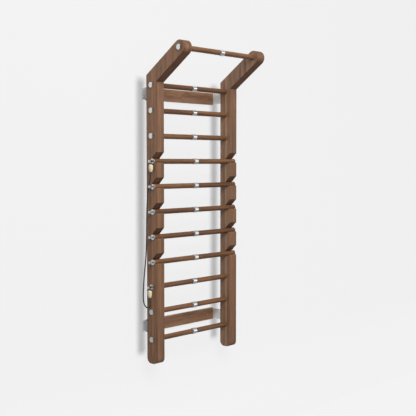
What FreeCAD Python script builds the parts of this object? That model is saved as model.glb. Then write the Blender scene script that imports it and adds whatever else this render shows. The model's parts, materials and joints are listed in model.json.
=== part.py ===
import FreeCAD, Part
import math
import os
import Sketcher

# Wall bars with a forward pull-up bar: two walnut side panels, seven fixed rungs, five bars that draw out of
# slanted notches, two wall boards on four steel brackets, and a hanging cord.
# Frame: origin on the wall, at the centre of the four wall bolts. +X to the right, +Y into the wall, +Z up.

doc = FreeCAD.newDocument("wall_bars")
sheet = doc.addObject("Spreadsheet::Sheet", "sizes")

SIZES = [
    # whole frame
    ("overall_width", 910.0),
    ("panel_thickness", 82.0),
    ("panel_depth", 106.0),
    ("wall_gap", 107.0),
    ("rung_pitch", 189.0),
    ("last_pitch", 210.0),
    ("foot_length", 184.0),
    ("foot_round", 40.0),
    ("bend_rise", 48.0),
    ("arm_length", 356.0),
    ("arm_angle", 35.0),
    ("edge_round", 2.5),
    # rungs and bars
    ("rung_radius", 20.0),
    ("socket_depth", 25.0),
    ("wood_fit", 0.08),
    ("rod_radius", 6.0),
    ("rod_fit", 0.1),
    ("sleeve_length", 48.0),
    ("sleeve_wall", 3.5),
    ("sleeve_fit", 0.06),
    ("sleeve_bevel", 4.0),
    ("sleeve_bevel_drop", 2.8),
    # draw-out notches
    ("bar_forward", 16.0),
    ("notch_angle", 45.0),
    ("notch_clearance", 1.5),
    ("seat_gap", 0.3),
    ("lip_round", 11.0),
    ("lip_share", 0.95),
    ("notch_edge_round", 4.0),
    # end caps
    ("cap_radius", 22.5),
    ("cap_thickness", 9.0),
    ("cap_bevel", 1.6),
    ("cap_bore_depth", 5.0),
    ("dish_radius", 17.0),
    ("dish_depth", 1.2),
    ("cap_gap", 0.4),
    ("neck_radius", 6.0),
    ("neck_length", 17.0),
    ("knob_radius", 11.5),
    ("knob_length", 15.0),
    ("knob_bevel", 3.0),
    # wall boards and brackets
    ("bracket_drop", 54.0),
    ("board_height", 95.0),
    ("board_thickness", 24.0),
    ("board_edge_round", 2.0),
    ("plate_thickness", 4.0),
    ("bracket_height", 84.0),
    ("wall_flange", 24.0),
    ("wall_bolt_radius", 4.5),
    ("board_tab", 96.0),
    ("panel_flange", 60.0),
    ("board_screw_inset", 72.0),
    ("board_screw_radius", 2.5),
    ("board_screw_head_radius", 5.0),
    ("board_screw_head_height", 3.0),
    ("panel_screw_inset", 30.0),
    ("panel_screw_spread", 22.0),
    ("panel_screw_radius", 4.0),
    ("panel_screw_length", 40.0),
    ("panel_screw_tip_gap", 1.0),
    ("panel_screw_head_radius", 6.5),
    ("panel_screw_head_height", 6.0),
    ("screw_fit", 0.1),
    # cord with its ferrules and loops
    ("cord_diameter", 9.0),
    ("loop_radius", 3.0),
    ("loop_gap", 0.4),
    ("loop_reach", 11.0),
    ("ferrule_gap", 0.5),
    ("ferrule_height", 56.0),
    ("ferrule_half_width", 20.0),
    ("ferrule_half_depth", 15.0),
]
for row, (alias, number) in enumerate(SIZES, start=1):
    sheet.set(f"A{row}", alias)
    sheet.set(f"B{row}", str(number))
    sheet.setAlias(f"B{row}", alias)
doc.recompute()

# Places that follow from the sizes, as expressions on the sheet.
OUTER_X = "(sizes.overall_width / 2)"
INNER_X = "(sizes.overall_width / 2 - sizes.panel_thickness)"
BACK_Y = "(-sizes.wall_gap)"
FRONT_Y = "(-sizes.wall_gap - sizes.panel_depth)"
MIDDLE_Y = "(-sizes.wall_gap - sizes.panel_depth / 2)"
BAR_Y = f"({MIDDLE_Y} - sizes.bar_forward)"
ARM_COS = "cos(sizes.arm_angle * 1 deg)"
ARM_SIN = "sin(sizes.arm_angle * 1 deg)"
BEND_Z = "(5 * sizes.rung_pitch + sizes.bend_rise)"
BEND_HALF = "(sizes.panel_depth / 2 * tan((90 - sizes.arm_angle) / 2 * 1 deg))"
BRACKET_Z = "(5 * sizes.rung_pitch - sizes.bracket_drop)"
LAST_Z = "(-4 * sizes.rung_pitch - sizes.last_pitch)"
FOOT_Z = f"({LAST_Z} - sizes.foot_length)"
PULL_UP_Y = f"({MIDDLE_Y} - sizes.arm_length * {ARM_COS})"
PULL_UP_Z = f"({BEND_Z} + sizes.arm_length * {ARM_SIN})"
SLEEVE_RADIUS = "(sizes.rung_radius + sizes.sleeve_wall)"
NOTCH_RADIUS = "(sizes.rung_radius + sizes.notch_clearance)"
SEAT_LIFT = "(sizes.notch_clearance - sizes.seat_gap)"
NOTCH_COS = "cos(sizes.notch_angle * 1 deg)"
NOTCH_SIN = "sin(sizes.notch_angle * 1 deg)"
SEAT_BEHIND_FRONT = "(sizes.panel_depth / 2 - sizes.bar_forward)"
LIP_WALL = f"(({SEAT_BEHIND_FRONT} - {NOTCH_RADIUS} * {NOTCH_SIN}) / {NOTCH_COS})"
LIP_ROUND = f"min(sizes.lip_round; sizes.lip_share * {LIP_WALL} * tan((90 - sizes.notch_angle) / 2 * 1 deg))"
BOARD_FRONT_Y = "(-sizes.plate_thickness - sizes.board_thickness)"


def rung_height(number):
    """Height of a rung, counted from 1 under the arms to 11 at the feet; rung 6 is level with the origin."""
    return LAST_Z if number == 11 else f"({6 - number} * sizes.rung_pitch)"


FIXED_RUNGS = {"pull_up_bar": (PULL_UP_Y, PULL_UP_Z)}
for rung_number in (1, 2, 3, 9, 10, 11):
    FIXED_RUNGS[f"rung_{rung_number:02d}"] = (MIDDLE_Y, rung_height(rung_number))
BARS = {f"bar_{number:02d}": (BAR_Y, rung_height(number)) for number in (4, 5, 6, 7, 8)}
KNOBBED = "rung_09"
SIDES = {"left": -1, "right": 1}
parts = {}


def value(expression):
    """Number that an expression on the sheet stands for."""
    result = sheet.evalExpression(expression)
    return float(result.Value) if hasattr(result, "Value") else float(result)


def keep(label, thing):
    """Name a finished sub-part and put it on the list of files to write."""
    thing.Label = label
    parts[label] = thing
    return thing


def place(thing, x="0", y="0", z="0", turn=0.0):
    """Stand a sub-part at sheet-driven coordinates, turned about the vertical by whole half turns."""
    thing.Placement = FreeCAD.Placement(FreeCAD.Vector(), FreeCAD.Rotation(FreeCAD.Vector(0, 0, 1), turn))
    for axis, expression in zip("xyz", (x, y, z)):
        thing.setExpression(f"Placement.Base.{axis}", expression)
    return thing


def sketch_on(body, name, role, offset=None):
    """Empty sketch on one of a body's own origin planes, optionally offset along the plane's normal."""
    sketch = body.newObject("Sketcher::SketchObject", name)
    plane = next(feature for feature in body.Origin.OriginFeatures if feature.Role == role)
    sketch.AttachmentSupport = [(plane, "")]
    sketch.MapMode = "FlatFace"
    if offset:
        sketch.setExpression("AttachmentOffset.Base.z", offset)
    return sketch


def pin_point(sketch, geometry, end, x, y):
    """Tie one point of a sketch to the sheet, on an axis where its coordinate is zero."""
    for kind, axis, expression in (("DistanceX", -2, x), ("DistanceY", -1, y)):
        if expression == "0":
            sketch.addConstraint(Sketcher.Constraint("PointOnObject", geometry, end, axis))
        else:
            number = value(expression)
            index = sketch.addConstraint(Sketcher.Constraint(kind, -1, 1, geometry, end, number))
            sketch.setExpression(f"Constraints[{index}]", expression)


def draw_polygon(sketch, corners):
    """Closed outline through corners given as pairs of expressions."""
    points = [FreeCAD.Vector(value(x), value(y), 0) for x, y in corners]
    count = len(points)
    first = sketch.GeometryCount
    for index in range(count):
        sketch.addGeometry(Part.LineSegment(points[index], points[(index + 1) % count]), False)
    for index in range(count):
        following = first + (index + 1) % count
        sketch.addConstraint(Sketcher.Constraint("Coincident", first + index, 2, following, 1))
    for index, (x, y) in enumerate(corners):
        pin_point(sketch, first + index, 1, x, y)


def draw_circle(sketch, x, y, radius):
    """Circle whose centre and radius follow the sheet."""
    centre = FreeCAD.Vector(value(x), value(y), 0)
    geometry = sketch.addGeometry(Part.Circle(centre, FreeCAD.Vector(0, 0, 1), value(radius)), False)
    index = sketch.addConstraint(Sketcher.Constraint("Radius", geometry, value(radius)))
    sketch.setExpression(f"Constraints[{index}]", radius)
    pin_point(sketch, geometry, 3, x, y)


def pad(body, sketch, name, length, reverse=False):
    feature = body.newObject("PartDesign::Pad", name)
    feature.Profile = sketch
    feature.setExpression("Length", length)
    feature.Reversed = reverse
    return feature


def pocket(body, sketch, name, reverse, depth=None):
    """Cut a sketch into a body, to a depth or right through, and make sure that it removes something."""
    before = body.Shape.Volume
    feature = body.newObject("PartDesign::Pocket", name)
    feature.Profile = sketch
    feature.Reversed = reverse
    if depth:
        feature.setExpression("Length", depth)
    else:
        feature.Type = "ThroughAll"
    doc.recompute()
    if body.Shape.Volume > before - 1.0:
        raise RuntimeError(f"{body.Label}: {name} removes nothing")
    return feature


def edge_names(shape, wanted):
    return [f"Edge{index}" for index, edge in enumerate(shape.Edges, start=1) if wanted(edge)]


def dress(body, kind, name, wanted, size_name, size):
    """Fillet or chamfer on the edges of a body's tip that pass a test."""
    tip = body.Tip
    feature = body.newObject(f"PartDesign::{kind}", name)
    feature.Base = (tip, edge_names(tip.Shape, wanted))
    feature.setExpression(size_name, size)
    doc.recompute()
    return feature


def turned(label, profile, x, y, z, turn=0.0):
    """Piece turned about the X axis from a half profile of (along, radius) pairs."""
    body = doc.addObject("PartDesign::Body", label)
    body.Label = label
    sketch = sketch_on(body, f"{label}_profile", "XY_Plane")
    draw_polygon(sketch, profile)
    revolution = body.newObject("PartDesign::Revolution", f"{label}_turning")
    revolution.Profile = sketch
    revolution.ReferenceAxis = (sketch, ["H_Axis"])
    revolution.Angle = 360.0
    return place(body, x, y, z, turn)


def group(label, members):
    compound = doc.addObject("Part::Compound", label)
    compound.Links = members
    return keep(label, compound)


# ---- side panels ---------------------------------------------------------------------------------------

def side_panel(side_name):
    """Post and arm in one board: outline, rounded arm end and feet, five notches, sockets and rod holes."""
    side = SIDES[side_name]
    inward = side < 0
    body = doc.addObject("PartDesign::Body", f"side_panel_{side_name}")
    place(body, f"{side} * {INNER_X}")
    half = "sizes.panel_depth / 2"
    outline = sketch_on(body, "outline", "YZ_Plane")
    draw_polygon(outline, [
        (BACK_Y, FOOT_Z),
        (FRONT_Y, FOOT_Z),
        (FRONT_Y, f"{BEND_Z} - {BEND_HALF}"),
        (f"{PULL_UP_Y} - {half} * {ARM_SIN}", f"{PULL_UP_Z} - {half} * {ARM_COS}"),
        (f"{PULL_UP_Y} + {half} * {ARM_SIN}", f"{PULL_UP_Z} + {half} * {ARM_COS}"),
        (BACK_Y, f"{BEND_Z} + {BEND_HALF}"),
    ])
    pad(body, outline, "board", "sizes.panel_thickness", inward)
    arm_end = sketch_on(body, "arm_end", "YZ_Plane")
    draw_circle(arm_end, PULL_UP_Y, PULL_UP_Z, half)
    pad(body, arm_end, "arm_round", "sizes.panel_thickness", inward)
    doc.recompute()
    foot = value(FOOT_Z)
    dress(body, "Fillet", "foot_rounding", lambda edge: all(abs(v.Z - foot) < 0.01 for v in edge.Vertexes)
          and abs(edge.Vertexes[0].X - edge.Vertexes[-1].X) > 1.0, "Radius", "sizes.foot_round")

    cut_notches(body, inward)

    face_x = (0.0, side * value("sizes.panel_thickness"))
    dress(body, "Fillet", "edge_easing",
          lambda edge: any(all(abs(v.X - x) < 0.01 for v in edge.Vertexes) for x in face_x),
          "Radius", "sizes.edge_round")

    sockets = sketch_on(body, "sockets", "YZ_Plane")
    rod_holes = sketch_on(body, "rod_holes", "YZ_Plane")
    for y, z in FIXED_RUNGS.values():
        draw_circle(sockets, y, z, "sizes.rung_radius + sizes.wood_fit")
        draw_circle(rod_holes, y, z, "sizes.rod_radius + sizes.rod_fit")
    pocket(body, sockets, "rung_sockets", not inward, "sizes.socket_depth")
    pocket(body, rod_holes, "rung_rod_holes", not inward)

    pilots = sketch_on(body, "pilots", "XZ_Plane", "sizes.wall_gap")
    for level in (-1, 1):
        for spread in (-1, 1):
            draw_circle(pilots, f"{side} * sizes.panel_screw_inset",
                        f"{level} * {BRACKET_Z} + {spread} * sizes.panel_screw_spread",
                        "sizes.panel_screw_radius + sizes.screw_fit")
    pocket(body, pilots, "bracket_screw_holes", True, "sizes.panel_screw_length + sizes.panel_screw_tip_gap")
    return keep(f"side_panel_{side_name}", body)


def cut_notches(body, inward):
    """Five slanted slots with round seats; each bar draws out forwards and upwards along its slot."""
    seat_z = f"({rung_height(8)} + {SEAT_LIFT})"

    def corner(along, across):
        """Corner of the slot, in panel depths along it and notch radii across it, from the seat's centre."""
        length, width = f"{along} * sizes.panel_depth", f"{across} * {NOTCH_RADIUS}"
        return (f"{BAR_Y} - {length} * {NOTCH_COS} + {width} * {NOTCH_SIN}",
                f"{seat_z} + {length} * {NOTCH_SIN} + {width} * {NOTCH_COS}")

    slot = sketch_on(body, "slot", "YZ_Plane")
    draw_polygon(slot, [corner(0, -1), corner(1, -1), corner(1, 1), corner(0, 1)])
    slot_cut = pocket(body, slot, "notch_slot", not inward)
    seat = sketch_on(body, "seat", "YZ_Plane")
    draw_circle(seat, BAR_Y, seat_z, NOTCH_RADIUS)
    seat_cut = pocket(body, seat, "notch_seat", not inward)
    row = body.newObject("PartDesign::LinearPattern", "notch_row")
    row.Originals = [slot_cut, seat_cut]
    row.Direction = (slot, ["V_Axis"])
    row.setExpression("Length", f"{len(BARS) - 1} * sizes.rung_pitch")
    row.Occurrences = len(BARS)
    body.Tip = row
    doc.recompute()
    front = value(FRONT_Y)
    rise = value(f"{SEAT_LIFT} + {SEAT_BEHIND_FRONT} * {NOTCH_SIN} / {NOTCH_COS}")
    half_mouth = value(f"{NOTCH_RADIUS} / {NOTCH_COS}")
    middles = [value(z) + rise for y, z in BARS.values()]

    def mouth_edge(offset):
        return lambda edge: (all(abs(v.Y - front) < 0.01 for v in edge.Vertexes)
                             and abs(edge.Vertexes[0].X - edge.Vertexes[-1].X) > 1.0
                             and any(abs(edge.Vertexes[0].Z - middle - offset) < 0.5 for middle in middles))

    dress(body, "Fillet", "lip_rounding", mouth_edge(-half_mouth), "Radius", LIP_ROUND)
    dress(body, "Fillet", "notch_edge_rounding", mouth_edge(half_mouth), "Radius", "sizes.notch_edge_round")


# ---- rungs and bars ------------------------------------------------------------------------------------

def wood_halves(name, y, z, end_x):
    """Two turned halves that meet in the middle, each bored for the tie rod."""
    bore = "(sizes.rod_radius + sizes.rod_fit)"
    for side_name, side in SIDES.items():
        label = f"{name}_wood_{side_name}"
        profile = [("0", bore), (end_x, bore), (end_x, "sizes.rung_radius"), ("0", "sizes.rung_radius")]
        keep(label, turned(label, profile, "0", y, z, 0.0 if side > 0 else 180.0))


def sleeve(name, y, z):
    """Polished steel sleeve over the joint of the two halves, bevelled at both ends."""
    bore = "(sizes.rung_radius + sizes.sleeve_fit)"
    shoulder = f"({SLEEVE_RADIUS} - sizes.sleeve_bevel_drop)"
    profile = [("0", bore), ("sizes.sleeve_length", bore), ("sizes.sleeve_length", shoulder),
               ("sizes.sleeve_length - sizes.sleeve_bevel", SLEEVE_RADIUS),
               ("sizes.sleeve_bevel", SLEEVE_RADIUS), ("0", shoulder)]
    return turned(f"{name}_sleeve", profile, "-sizes.sleeve_length / 2", y, z)


def tie_rod(name, y, z, cap_base):
    """Rod from cap to cap through both halves."""
    half = f"({cap_base} + sizes.cap_bore_depth)"
    length = f"2 * {half}"
    profile = [("0", "0"), (length, "0"), (length, "sizes.rod_radius"), ("0", "sizes.rod_radius")]
    return turned(f"{name}_rod", profile, f"-{half}", y, z)


def cap_profile(knobbed):
    """Half profile of an end cap: bored disc, then either a dished face or a neck and knob."""
    bore = "(sizes.rod_radius + sizes.screw_fit)"
    thick = "sizes.cap_thickness"
    rim = [("sizes.cap_bore_depth", "0"), ("sizes.cap_bore_depth", bore), ("0", bore),
           ("0", "sizes.cap_radius"), (f"{thick} - sizes.cap_bevel", "sizes.cap_radius"),
           (thick, "sizes.cap_radius - sizes.cap_bevel")]
    if not knobbed:
        floor = f"{thick} - sizes.dish_depth"
        return rim + [(thick, "sizes.dish_radius"), (floor, "sizes.dish_radius - sizes.dish_depth"),
                      (floor, "0")]
    knob = f"({thick} + sizes.neck_length)"
    end = f"({knob} + sizes.knob_length)"
    small = "sizes.knob_radius - sizes.knob_bevel"
    return rim + [(thick, "sizes.neck_radius"), (knob, "sizes.neck_radius"), (knob, small),
                  (f"{knob} + sizes.knob_bevel", "sizes.knob_radius"),
                  (f"{end} - sizes.knob_bevel", "sizes.knob_radius"), (end, small), (end, "0")]


def caps(name, y, z, cap_base, knobbed):
    """Both end caps of a rung. Only the left one can carry a neck and knob."""
    return [turned(f"{name}_cap_{side_name}", cap_profile(knobbed and side < 0), f"{side} * {cap_base}", y, z,
                   0.0 if side > 0 else 180.0) for side_name, side in SIDES.items()]


def fixed_rungs():
    """Seven rungs glued into sockets; their sleeves, rods and plain caps are grouped."""
    sleeves, rods, plain = [], [], []
    for name, (y, z) in FIXED_RUNGS.items():
        wood_halves(name, y, z, f"({INNER_X} + sizes.socket_depth)")
        sleeves.append(sleeve(name, y, z))
        rods.append(tie_rod(name, y, z, OUTER_X))
        pair = caps(name, y, z, OUTER_X, name == KNOBBED)
        if name == KNOBBED:
            group(f"{name}_knob_caps", pair)
        else:
            plain.extend(pair)
    group("rung_sleeves", sleeves)
    group("rung_tie_rods", rods)
    group("rung_end_caps", plain)


def lift_out_bars():
    """Five bars whose discs run just outside the panels and whose wood lies in the notches."""
    cap_base = f"({OUTER_X} + sizes.cap_gap)"
    for name, (y, z) in BARS.items():
        wood_halves(name, y, z, cap_base)
        keep(f"{name}_sleeve", sleeve(name, y, z))
        keep(f"{name}_tie_rod", tie_rod(name, y, z, cap_base))
        group(f"{name}_knob_caps", caps(name, y, z, cap_base, True))


# ---- wall boards and brackets --------------------------------------------------------------------------

def wall_board(label, level):
    """Board between the brackets' webs, drilled and countersunk near each end."""
    body = doc.addObject("PartDesign::Body", label)
    place(body, z=f"{level} * {BRACKET_Z}")
    half_height = "sizes.board_height / 2"
    outline = sketch_on(body, "board_outline", "XZ_Plane", "sizes.plate_thickness")
    draw_polygon(outline, [(f"-{INNER_X}", f"-{half_height}"), (INNER_X, f"-{half_height}"),
                           (INNER_X, half_height), (f"-{INNER_X}", half_height)])
    pad(body, outline, "board", "sizes.board_thickness")
    doc.recompute()
    front = value(BOARD_FRONT_Y)
    dress(body, "Fillet", "board_easing", lambda edge: all(abs(v.Y - front) < 0.01 for v in edge.Vertexes),
          "Radius", "sizes.board_edge_round")
    holes = sketch_on(body, "screw_holes", "XZ_Plane")
    heads = sketch_on(body, "head_seats", "XZ_Plane", f"-{BOARD_FRONT_Y} - sizes.board_screw_head_height")
    for side in SIDES.values():
        x = f"{side} * ({INNER_X} - sizes.board_screw_inset)"
        draw_circle(holes, x, "0", "sizes.board_screw_radius + sizes.screw_fit")
        draw_circle(heads, x, "0", "sizes.board_screw_head_radius + sizes.screw_fit")
    pocket(body, holes, "drilling", True)
    pocket(body, heads, "counterbore", True)
    return keep(label, body)


def box(name, x, y, z, width, depth, height):
    """Part box by its low corner and its three sizes, all as expressions."""
    solid = doc.addObject("Part::Box", name)
    for dimension, expression in (("Length", width), ("Width", depth), ("Height", height)):
        solid.setExpression(dimension, expression)
    return place(solid, x, y, z)


def rod_along_y(name, x, y, z, radius, length):
    """Cylinder that runs towards +Y from a point."""
    solid = doc.addObject("Part::Cylinder", name)
    solid.setExpression("Radius", radius)
    solid.setExpression("Height", length)
    solid.Placement = FreeCAD.Placement(FreeCAD.Vector(), FreeCAD.Rotation(FreeCAD.Vector(1, 0, 0), -90))
    for axis, expression in zip("xyz", (x, y, z)):
        solid.setExpression(f"Placement.Base.{axis}", expression)
    return solid


def fuse(label, members):
    fused = doc.addObject("Part::MultiFuse", label)
    fused.Shapes = members
    fused.Refine = True
    return fused


def wall_bracket(label, side, level):
    """Welded plate bracket: wall plate behind the board, web across the gap, flange on the panel's back."""
    thick = "sizes.plate_thickness"
    z_low = f"({level} * {BRACKET_Z} - sizes.bracket_height / 2)"
    tall = "sizes.bracket_height"

    def plate(name, near, width, y, depth):
        low = f"({near})" if side > 0 else f"(-({near}) - ({width}))"
        return box(f"{label}_{name}", low, y, z_low, width, depth, tall)

    wall_plate = plate("wall_plate", f"{INNER_X} - sizes.board_tab",
                       f"sizes.board_tab + {thick} + sizes.wall_flange", f"-{thick}", thick)
    web = plate("web", INNER_X, thick, BACK_Y, "sizes.wall_gap")
    flange = plate("flange", INNER_X, "sizes.panel_flange", BACK_Y, thick)
    solid = fuse(f"{label}_plates", [wall_plate, web, flange])
    middle = f"{level} * {BRACKET_Z}"
    holes = [
        rod_along_y(f"{label}_bolt_hole", f"{side} * ({INNER_X} + {thick} + sizes.wall_flange / 2)",
                    f"-2 * {thick}", middle, "sizes.wall_bolt_radius", f"3 * {thick}"),
        rod_along_y(f"{label}_board_hole", f"{side} * ({INNER_X} - sizes.board_screw_inset)",
                    f"-2 * {thick}", middle, "sizes.board_screw_radius + sizes.screw_fit", f"3 * {thick}"),
    ]
    for spread in (-1, 1):
        holes.append(rod_along_y(
            f"{label}_flange_hole_{spread + 1}", f"{side} * ({INNER_X} + sizes.panel_screw_inset)",
            f"{BACK_Y} - {thick}", f"{middle} + {spread} * sizes.panel_screw_spread",
            "sizes.panel_screw_radius + sizes.screw_fit", f"3 * {thick}"))
    cut = doc.addObject("Part::Cut", label)
    cut.Base = solid
    cut.Tool = fuse(f"{label}_holes", holes)
    return keep(label, cut)


def board_screws():
    """Four screws that hold the boards to the wall plates, heads flush with the boards' faces."""
    screws = []
    for level in (-1, 1):
        for side in SIDES.values():
            name = f"board_screw_{len(screws) + 1}"
            x = f"{side} * ({INNER_X} - sizes.board_screw_inset)"
            z = f"{level} * {BRACKET_Z}"
            head = rod_along_y(f"{name}_head", x, BOARD_FRONT_Y, z, "sizes.board_screw_head_radius",
                               "sizes.board_screw_head_height")
            shank = rod_along_y(f"{name}_shank", x, BOARD_FRONT_Y, z, "sizes.board_screw_radius",
                                f"-{BOARD_FRONT_Y}")
            screws.append(fuse(name, [head, shank]))
    return group("board_screws", screws)


def panel_screws():
    """Eight screws that hold the brackets' flanges to the backs of the side panels."""
    screws = []
    seat_y = f"({BACK_Y} + sizes.plate_thickness)"
    for level in (-1, 1):
        for side in SIDES.values():
            for spread in (-1, 1):
                name = f"panel_screw_{len(screws) + 1}"
                x = f"{side} * ({INNER_X} + sizes.panel_screw_inset)"
                z = f"{level} * {BRACKET_Z} + {spread} * sizes.panel_screw_spread"
                head = rod_along_y(f"{name}_head", x, seat_y, z, "sizes.panel_screw_head_radius",
                                   "sizes.panel_screw_head_height")
                tip_y = f"({BACK_Y} - sizes.panel_screw_length)"
                shank = rod_along_y(f"{name}_shank", x, tip_y, z, "sizes.panel_screw_radius",
                                    f"{seat_y} - {tip_y} + sizes.panel_screw_head_height / 2")
                screws.append(fuse(name, [head, shank]))
    return group("panel_screws", screws)


# ---- cord ----------------------------------------------------------------------------------------------

# Route of the cord from the upper ferrule down to its low bend and up into the lower ferrule, in mm.
CORD_ROUTE = [
    (-475.0, -174.0, 298.7), (-475.0, -174.0, 262.0), (-475.5, -154.0, 212.0), (-476.5, -140.0, 128.0),
    (-477.5, -132.5, 12.0), (-478.0, -126.5, -112.0), (-478.0, -122.0, -236.0), (-477.5, -114.5, -352.0),
    (-477.0, -99.0, -462.0), (-476.5, -91.5, -562.0), (-476.0, -87.0, -636.0), (-475.5, -90.0, -684.0),
    (-475.0, -107.0, -716.0), (-475.0, -140.0, -727.0), (-475.0, -166.0, -706.0), (-475.0, -163.0, -673.0),
    (-475.0, -163.0, -646.0),
]
# Share of a straight run that the arc at either of its ends may take up.
ARC_SHARE = 0.45


def tube(path, radius):
    """Round tube along a wire, square to its start."""
    first = path.OrderedEdges[0]
    start = first.valueAt(first.FirstParameter)
    direction = first.tangentAt(first.FirstParameter)
    section = Part.Wire(Part.makeCircle(radius, start, direction))
    return path.makePipeShell([section], True, False)


def rounded_path(points):
    """Straight runs joined by tangent arcs that each take the same share of the shorter run beside them.

    Returns the wire and the arcs' radii.
    """
    points = [FreeCAD.Vector(*point) for point in points]
    edges, radii, start = [], [], points[0]
    for before, here, after in zip(points, points[1:], points[2:]):
        inward = (before - here).normalize()
        outward = (after - here).normalize()
        reach = ARC_SHARE * min((before - here).Length, (after - here).Length)
        half_turn = (math.pi - inward.getAngle(outward)) / 2
        radius = reach / math.tan(half_turn)
        leave = here + inward * reach
        join = here + outward * reach
        bisector = (inward + outward).normalize()
        middle = here + bisector * (radius / math.cos(half_turn) - radius)
        edges.append(Part.LineSegment(start, leave).toShape())
        edges.append(Part.Arc(leave, middle, join).toShape())
        radii.append(radius)
        start = join
    edges.append(Part.LineSegment(start, points[-1]).toShape())
    return Part.Wire(edges), radii


def cord():
    """Plain tube along the route; its volume is compared with section times length."""
    path, radii = rounded_path(CORD_ROUTE)
    radius = value("sizes.cord_diameter") / 2
    print("cord length", round(path.Length, 1), "bend radii", [round(bend) for bend in radii])
    piece = doc.addObject("Part::Feature", "cord")
    piece.Shape = tube(path, radius)
    expected = math.pi * radius ** 2 * path.Length
    if abs(piece.Shape.Volume / expected - 1) > 0.01:
        raise RuntimeError("the cord's volume is not its section times its length")
    return keep("cord", piece)


FERRULE_X = f"(-{OUTER_X} - sizes.cap_thickness - sizes.loop_reach)"
FERRULE_DROP = "(sizes.cap_radius + sizes.ferrule_gap)"
# Sections of a ferrule from the bottom up: share of its height, share of its full width and depth.
FERRULE_SECTIONS = [(0, 0.5), (0.3, 0.94), (0.6, 1.0), (0.95, 1.0), (1.0, 0.84)]


def ferrule(label, y, z):
    """Oval end piece of the cord: narrow at the bottom where the cord enters, eased at the top."""
    body = doc.addObject("PartDesign::Body", label)
    top = f"({z} - {FERRULE_DROP})"
    place(body, FERRULE_X, y, f"{top} - sizes.ferrule_height")
    sections = []
    for rise, share in FERRULE_SECTIONS:
        height = f"{rise} * sizes.ferrule_height" if rise else None
        section = sketch_on(body, f"{label}_section", "XY_Plane", height)
        draw_oval(section, f"{share} * sizes.ferrule_half_depth", f"{share} * sizes.ferrule_half_width")
        sections.append(section)
    loft = body.newObject("PartDesign::AdditiveLoft", f"{label}_loft")
    loft.Profile = sections[0]
    loft.Sections = sections[1:]
    loft.Ruled = True
    return keep(label, body)


def draw_oval(sketch, half_x, half_y):
    """Upright stadium: two half circles joined by straight sides, centred on the sketch's origin."""
    radius = value(half_x)
    straight = value(f"{half_y} - {half_x}")
    ends = [(radius, straight), (-radius, straight), (-radius, -straight), (radius, -straight)]
    ends = [FreeCAD.Vector(x, y, 0) for x, y in ends]
    up = FreeCAD.Vector(0, 0, 1)
    top = sketch.addGeometry(Part.ArcOfCircle(
        Part.Circle(FreeCAD.Vector(0, straight, 0), up, radius), 0, math.pi), False)
    left = sketch.addGeometry(Part.LineSegment(ends[1], ends[2]), False)
    bottom = sketch.addGeometry(Part.ArcOfCircle(
        Part.Circle(FreeCAD.Vector(0, -straight, 0), up, radius), math.pi, 2 * math.pi), False)
    right = sketch.addGeometry(Part.LineSegment(ends[3], ends[0]), False)
    for one, one_end, other, other_end in ((top, 2, left, 1), (left, 2, bottom, 1), (bottom, 2, right, 1),
                                           (right, 2, top, 1)):
        sketch.addConstraint(Sketcher.Constraint("Tangent", one, one_end, other, other_end))
    pin_point(sketch, top, 3, "0", f"{half_y} - {half_x}")
    pin_point(sketch, bottom, 3, "0", f"{half_x} - {half_y}")
    index = sketch.addConstraint(Sketcher.Constraint("Radius", top, radius))
    sketch.setExpression(f"Constraints[{index}]", half_x)


def loop(label, y, z):
    """Small cord loop over a knob's neck, both legs ending on the ferrule's top."""
    radius = value("sizes.loop_radius")
    bend = value("sizes.neck_radius + sizes.loop_gap") + radius
    centre = FreeCAD.Vector(value(FERRULE_X), value(y), value(z))
    top = centre.z - value(FERRULE_DROP)
    left, right = centre + FreeCAD.Vector(0, -bend, 0), centre + FreeCAD.Vector(0, bend, 0)
    path = Part.Wire([
        Part.LineSegment(FreeCAD.Vector(left.x, left.y, top), left).toShape(),
        Part.Arc(left, centre + FreeCAD.Vector(0, 0, bend), right).toShape(),
        Part.LineSegment(right, FreeCAD.Vector(right.x, right.y, top)).toShape(),
    ])
    piece = doc.addObject("Part::Feature", label)
    piece.Shape = tube(path, radius)
    return keep(label, piece)


# ---- build, check and write ----------------------------------------------------------------------------

for each_side in SIDES:
    side_panel(each_side)
fixed_rungs()
lift_out_bars()
for level_name, level_sign in (("upper", 1), ("lower", -1)):
    wall_board(f"wall_board_{level_name}", level_sign)
    for each_side, side_sign in SIDES.items():
        wall_bracket(f"wall_bracket_{level_name}_{each_side}", side_sign, level_sign)
board_screws()
panel_screws()
for end_name, (hook_y, hook_z) in (("upper", BARS["bar_04"]), ("lower", FIXED_RUNGS[KNOBBED])):
    ferrule(f"cord_ferrule_{end_name}", hook_y, hook_z)
    loop(f"cord_loop_{end_name}", hook_y, hook_z)
cord()
doc.recompute()

for thing in doc.Objects:
    if {"Invalid", "Error"} & set(thing.State):
        raise RuntimeError(f"{thing.Label} failed: {thing.State}")
for label, thing in parts.items():
    if thing.Shape.isNull() or not thing.Shape.isValid():
        raise RuntimeError(f"{label} has no valid shape")

os.makedirs("parts", exist_ok=True)
for label, thing in parts.items():
    thing.Shape.exportStep(f"parts/{label}.step")
print(len(parts), "parts written")
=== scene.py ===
# %% [markdown]
# # Wall bars in oiled walnut and polished steel
# The object is an exercise ladder that hangs on a wall. Two walnut side panels hold twelve rungs, five of which
# draw out of slanted notches, and a black cord hangs from two steel knobs. The CAD model already has every part in
# its true place and size, so the lesson starts from it and never moves it. What is left to do is the surface:
# wood grain, polished metal, a braided cord, and the light.

# %% Loading the frame
import json
import math

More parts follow.
